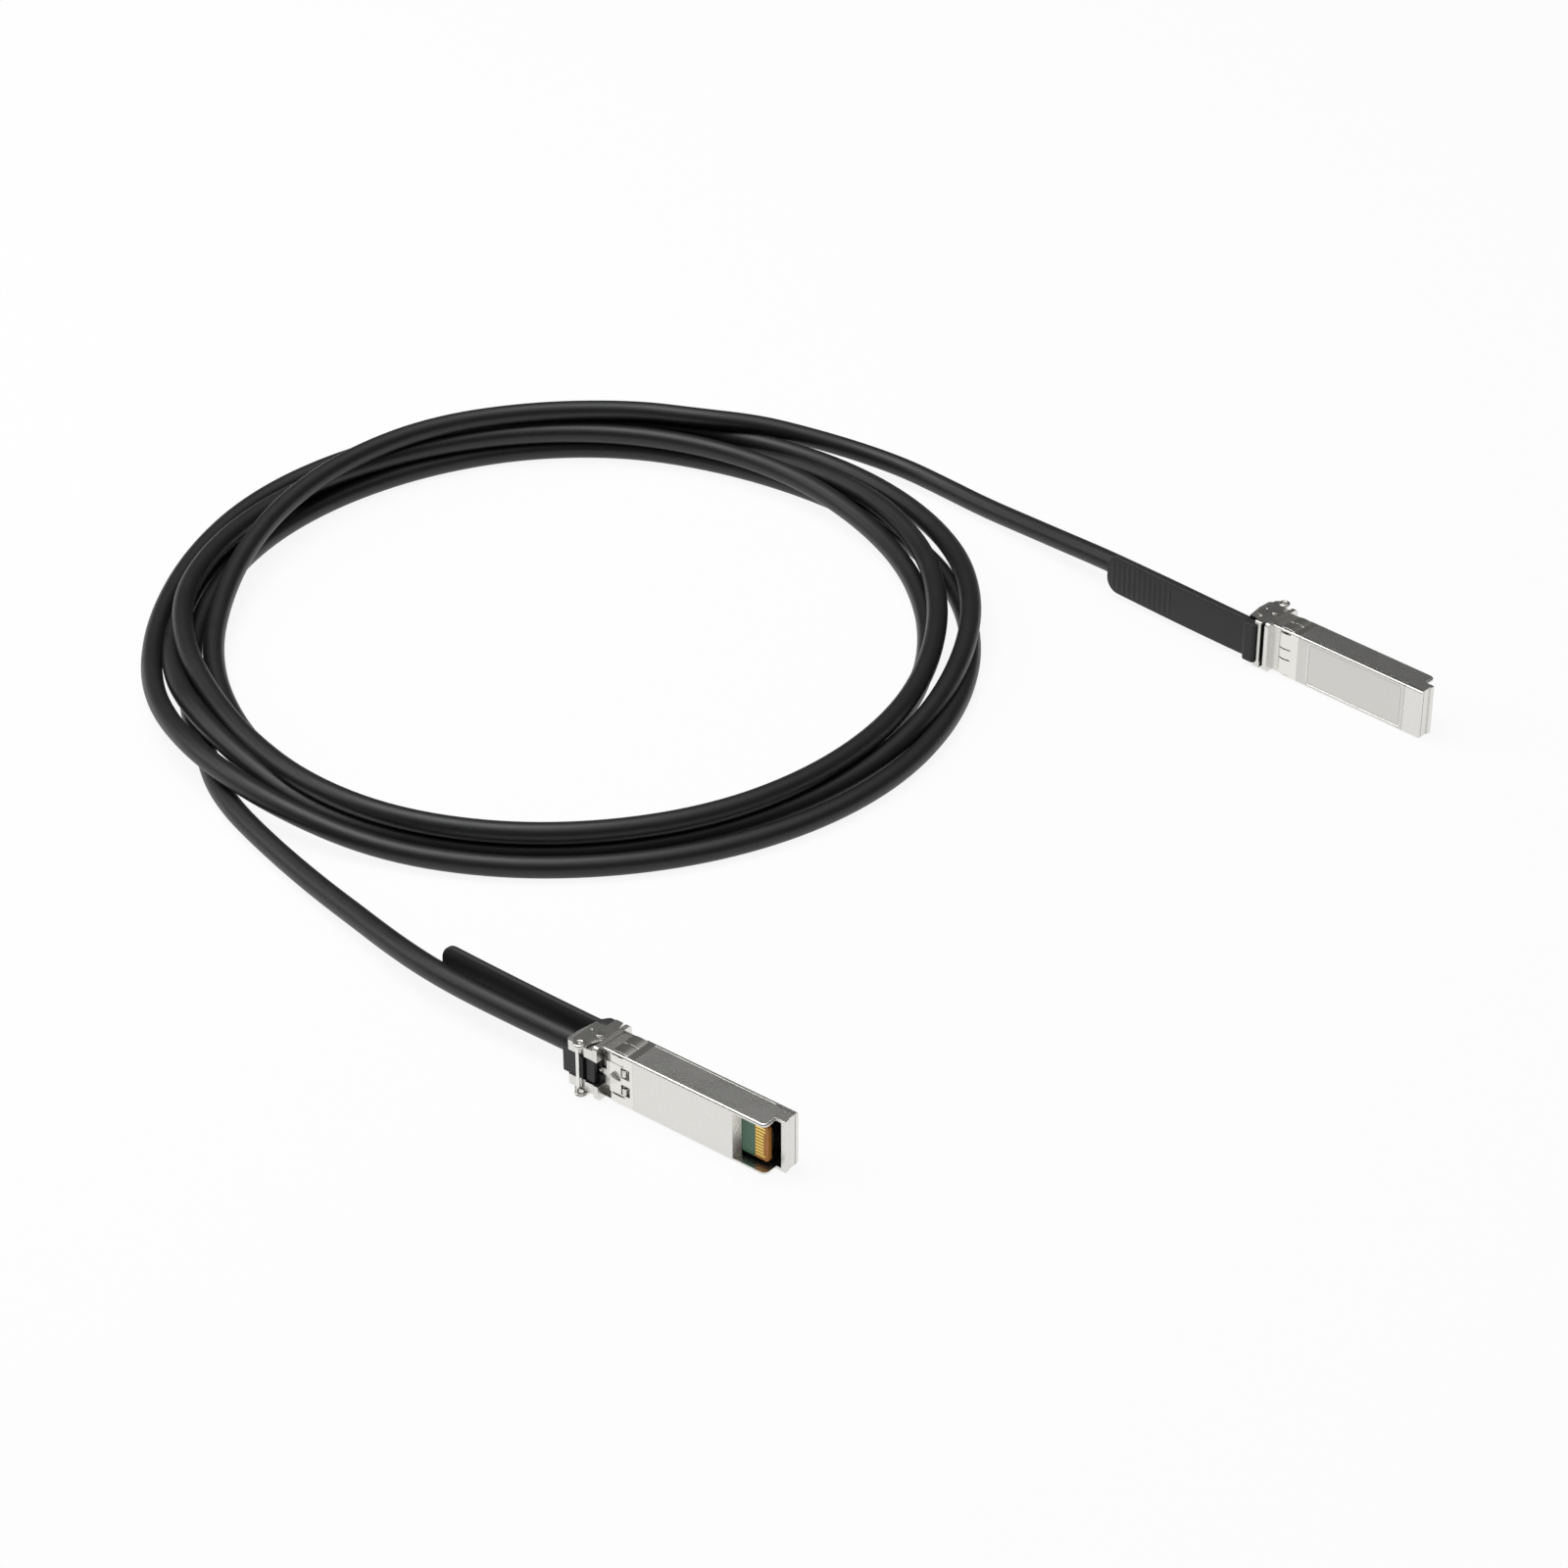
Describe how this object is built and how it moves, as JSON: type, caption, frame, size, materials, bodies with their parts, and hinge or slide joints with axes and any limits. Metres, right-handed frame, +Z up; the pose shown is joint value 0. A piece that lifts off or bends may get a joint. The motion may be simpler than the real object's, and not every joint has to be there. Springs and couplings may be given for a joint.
{
  "type": "direct attach copper cable",
  "caption": "Coiled shielded copper cable with a metal pluggable module at each end, each released by a black pull strap.",
  "frame": {"origin": "centre of plug A's bezel stop, on the plug's own axis; the cable and both plugs lie on the plane 7.0 mm below it", "axes": "+X along plug A towards its tip, -Y out of its latch face, +Z up from the surface the object lies on"},
  "size_m": [0.3077, 0.275, 0.014],
  "materials": {
    "cast_zinc": "nickel-plated zinc die casting, satin",
    "cover_metal": "nickel-plated zinc die casting, satin, with a shallow label recess",
    "spring_steel": "bright nickel-plated spring sheet",
    "stamped_steel": "stamped stainless sheet",
    "steel_wire": "bright drawn stainless wire",
    "rivet_steel": "turned steel rivets",
    "black_plastic": "black moulded plastic",
    "strap_elastomer": "matte black moulded elastomer",
    "cable_jacket": "satin black jacket, left bare of print",
    "ferrule_brass": "plain crimp sleeve",
    "wire_insulation": "insulated twin conductors",
    "circuit_board": "green solder mask over laminate",
    "gold_plate": "gold-plated contact pads",
    "chip_package": "black moulded package",
    "ceramic": "ceramic chip capacitors"
  },
  "bodies": {
    "base": {"plug_a_housing": "cast_zinc", "plug_a_cover": "cover_metal", "plug_a_shield_spring": "spring_steel", "plug_a_pivot_rivets": "rivet_steel", "plug_a_cable_boot": "black_plastic", "plug_a_crimp_ferrule": "ferrule_brass", "plug_a_twin_pairs": "wire_insulation", "plug_a_paddle_card": "circuit_board", "plug_a_contact_pads": "gold_plate", "plug_a_memory_chip": "chip_package", "plug_a_capacitors": "ceramic", "plug_b_housing": "cast_zinc", "plug_b_cover": "cover_metal", "plug_b_shield_spring": "spring_steel", "plug_b_pivot_rivets": "rivet_steel", "plug_b_cable_boot": "black_plastic", "plug_b_crimp_ferrule": "ferrule_brass", "plug_b_twin_pairs": "wire_insulation", "plug_b_paddle_card": "circuit_board", "plug_b_contact_pads": "gold_plate", "plug_b_memory_chip": "chip_package", "plug_b_capacitors": "ceramic", "cable_lead_a": "cable_jacket", "cable_coil": "cable_jacket", "cable_lead_b": "cable_jacket"},
    "strap_a": {"plug_a_pull_strap": "strap_elastomer"},
    "lever_a": {"plug_a_release_lever": "stamped_steel", "plug_a_latch_wire": "steel_wire"},
    "lifter_a": {"plug_a_latch_lifter": "stamped_steel", "plug_a_slider_bar": "black_plastic"},
    "strap_b": {"plug_b_pull_strap": "strap_elastomer"},
    "lever_b": {"plug_b_release_lever": "stamped_steel", "plug_b_latch_wire": "steel_wire"},
    "lifter_b": {"plug_b_latch_lifter": "stamped_steel", "plug_b_slider_bar": "black_plastic"}
  },
  "joints": [
    {"name": "strap_a_pull", "type": "slide", "parent": "base", "child": "strap_a", "axis": [-1, 0, 0], "range_m": [0, 0.000832], "stiffness_N_per_m": 2000, "springref_m": -0.0005},
    {"name": "lever_a_turn", "type": "hinge", "parent": "base", "child": "lever_a", "pos_m": [-0.0032, -0.0009, 0], "axis": [0, 0, 1], "range_deg": [0, 7.5]},
    {"name": "lifter_a_slide", "type": "slide", "parent": "base", "child": "lifter_a", "axis": [1, 0, 0], "range_m": [0, 0.00071]},
    {"name": "strap_b_pull", "type": "slide", "parent": "base", "child": "strap_b", "axis": [-0.9938, 0.1115, 0], "range_m": [0, 0.000832], "stiffness_N_per_m": 2000, "springref_m": -0.0005},
    {"name": "lever_b_turn", "type": "hinge", "parent": "base", "child": "lever_b", "pos_m": [0.00942, 0.24725, 0], "axis": [0, 0, -1], "range_deg": [0, 7.5]},
    {"name": "lifter_b_slide", "type": "slide", "parent": "base", "child": "lifter_b", "axis": [0.9938, -0.1115, 0], "range_m": [0, 0.00071]}
  ],
  "couplings": [
    {"joint": "lever_a_turn", "follows": "strap_a_pull", "rad_per_m": 156.25},
    {"joint": "lifter_a_slide", "follows": "strap_a_pull", "ratio": 0.8413},
    {"joint": "lever_b_turn", "follows": "strap_b_pull", "rad_per_m": 156.25},
    {"joint": "lifter_b_slide", "follows": "strap_b_pull", "ratio": 0.8413}
  ]
}
